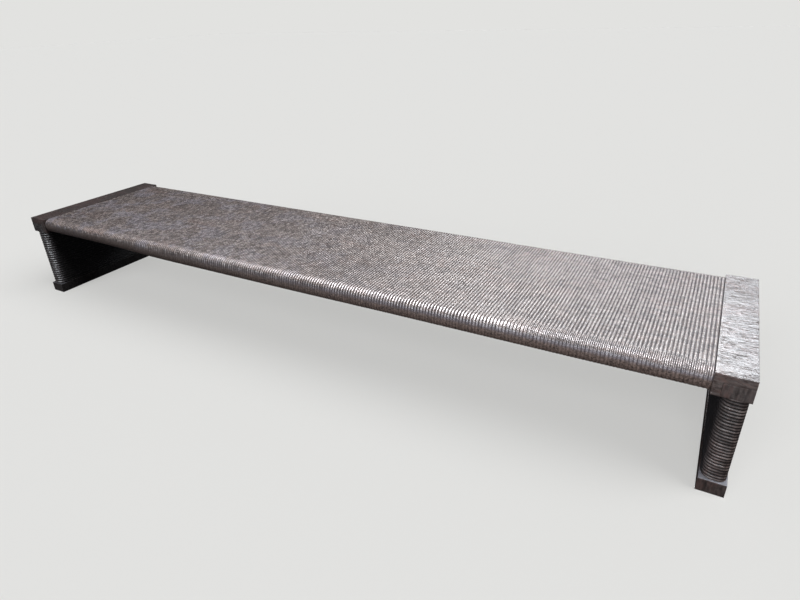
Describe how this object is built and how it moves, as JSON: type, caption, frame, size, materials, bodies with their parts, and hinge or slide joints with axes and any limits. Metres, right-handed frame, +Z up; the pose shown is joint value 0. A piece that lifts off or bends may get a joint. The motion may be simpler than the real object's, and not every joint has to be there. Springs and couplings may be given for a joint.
{
  "type": "daybed",
  "caption": "Long, low daybed of dark carved hardwood: a thick plank seat with fine cross ribs and rounded edges, on full-width ribbed plank legs with plain square ends.",
  "frame": {"origin": "on the floor, at the middle of the daybed's length and width", "axes": "+X along the length, to the right seen from the front; +Y to the back; +Z up"},
  "size_m": [2.8, 0.608, 0.356],
  "materials": {
    "slab_wood": "dark stained and waxed, satin, hand-carved ribs",
    "leg_wood": "dark stained and waxed, satin, hand-carved ribs",
    "dowel_wood": "bare turned hardwood"
  },
  "bodies": {
    "root": {"top_slab": "slab_wood", "left_leg": "leg_wood", "right_leg": "leg_wood", "left_leg_dowels": "dowel_wood", "right_leg_dowels": "dowel_wood"}
  },
  "joints": []
}
